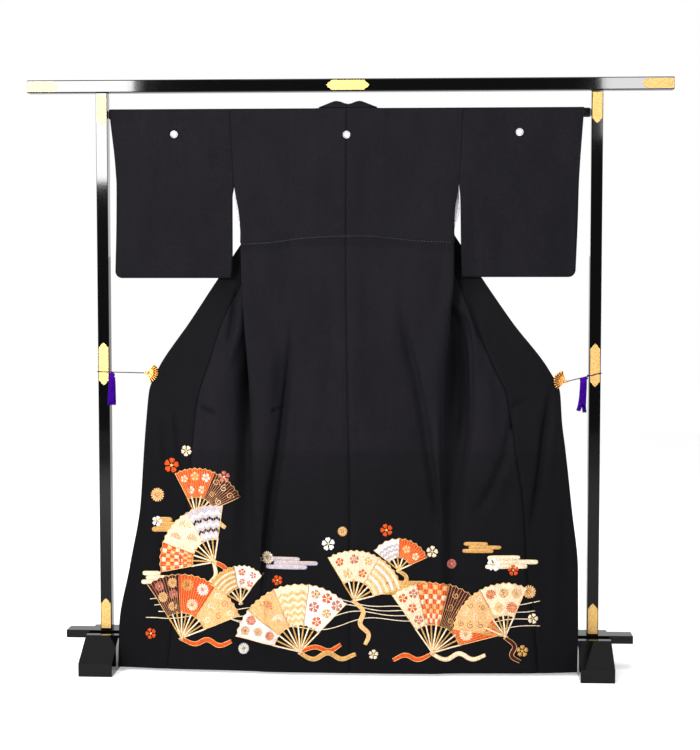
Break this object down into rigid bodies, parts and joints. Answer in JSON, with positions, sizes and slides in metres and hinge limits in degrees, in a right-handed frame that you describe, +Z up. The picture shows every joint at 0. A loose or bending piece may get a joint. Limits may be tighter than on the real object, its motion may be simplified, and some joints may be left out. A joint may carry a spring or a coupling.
{
  "type": "kurotomesode kimono on lacquered kimono stand",
  "caption": "Formal black kimono seen from its back, sleeves over a rod, fronts drawn out by fan clips, hem spread to the floor, on a lacquered wooden stand with gilt plates.",
  "frame": {"origin": "on the floor, midway between the stand's two feet, in the plane of its posts", "axes": "+X to the right of a viewer who faces the garment's back, +Y away from that viewer, +Z up"},
  "size_m": [1.8452, 0.352, 1.6942],
  "materials": {
    "black_crepe": "matte black silk crepe",
    "pale_lining": "soft pale silk",
    "black_lacquer": "gloss black lacquer",
    "gilt_brass": "polished gilt",
    "purple_silk": "silk thread",
    "cord_silk": "braided silk"
  },
  "bodies": {
    "root": {"back_left": "black_crepe", "back_right": "black_crepe", "front_left": "black_crepe", "front_right": "black_crepe", "okumi_left": "black_crepe", "okumi_right": "black_crepe", "sleeve_left": "black_crepe", "sleeve_right": "black_crepe", "collar_neck": "black_crepe", "collar_left": "black_crepe", "collar_right": "black_crepe", "lining_left": "pale_lining", "lining_right": "pale_lining", "top_bar": "black_lacquer", "bottom_rail": "black_lacquer", "sleeve_rod": "black_lacquer", "post_left": "black_lacquer", "post_right": "black_lacquer", "foot_left": "black_lacquer", "foot_right": "black_lacquer", "plate_bar_left": "gilt_brass", "plate_bar_middle": "gilt_brass", "plate_bar_right": "gilt_brass", "plate_post_left_top": "gilt_brass", "plate_post_left_middle": "gilt_brass", "plate_post_left_low": "gilt_brass", "plate_post_right_top": "gilt_brass", "plate_post_right_middle": "gilt_brass", "plate_post_right_low": "gilt_brass", "clip_left": "gilt_brass", "clip_right": "gilt_brass", "tassel_left": "purple_silk", "tassel_right": "purple_silk", "cord_left": "cord_silk", "cord_right": "cord_silk"}
  },
  "joints": []
}
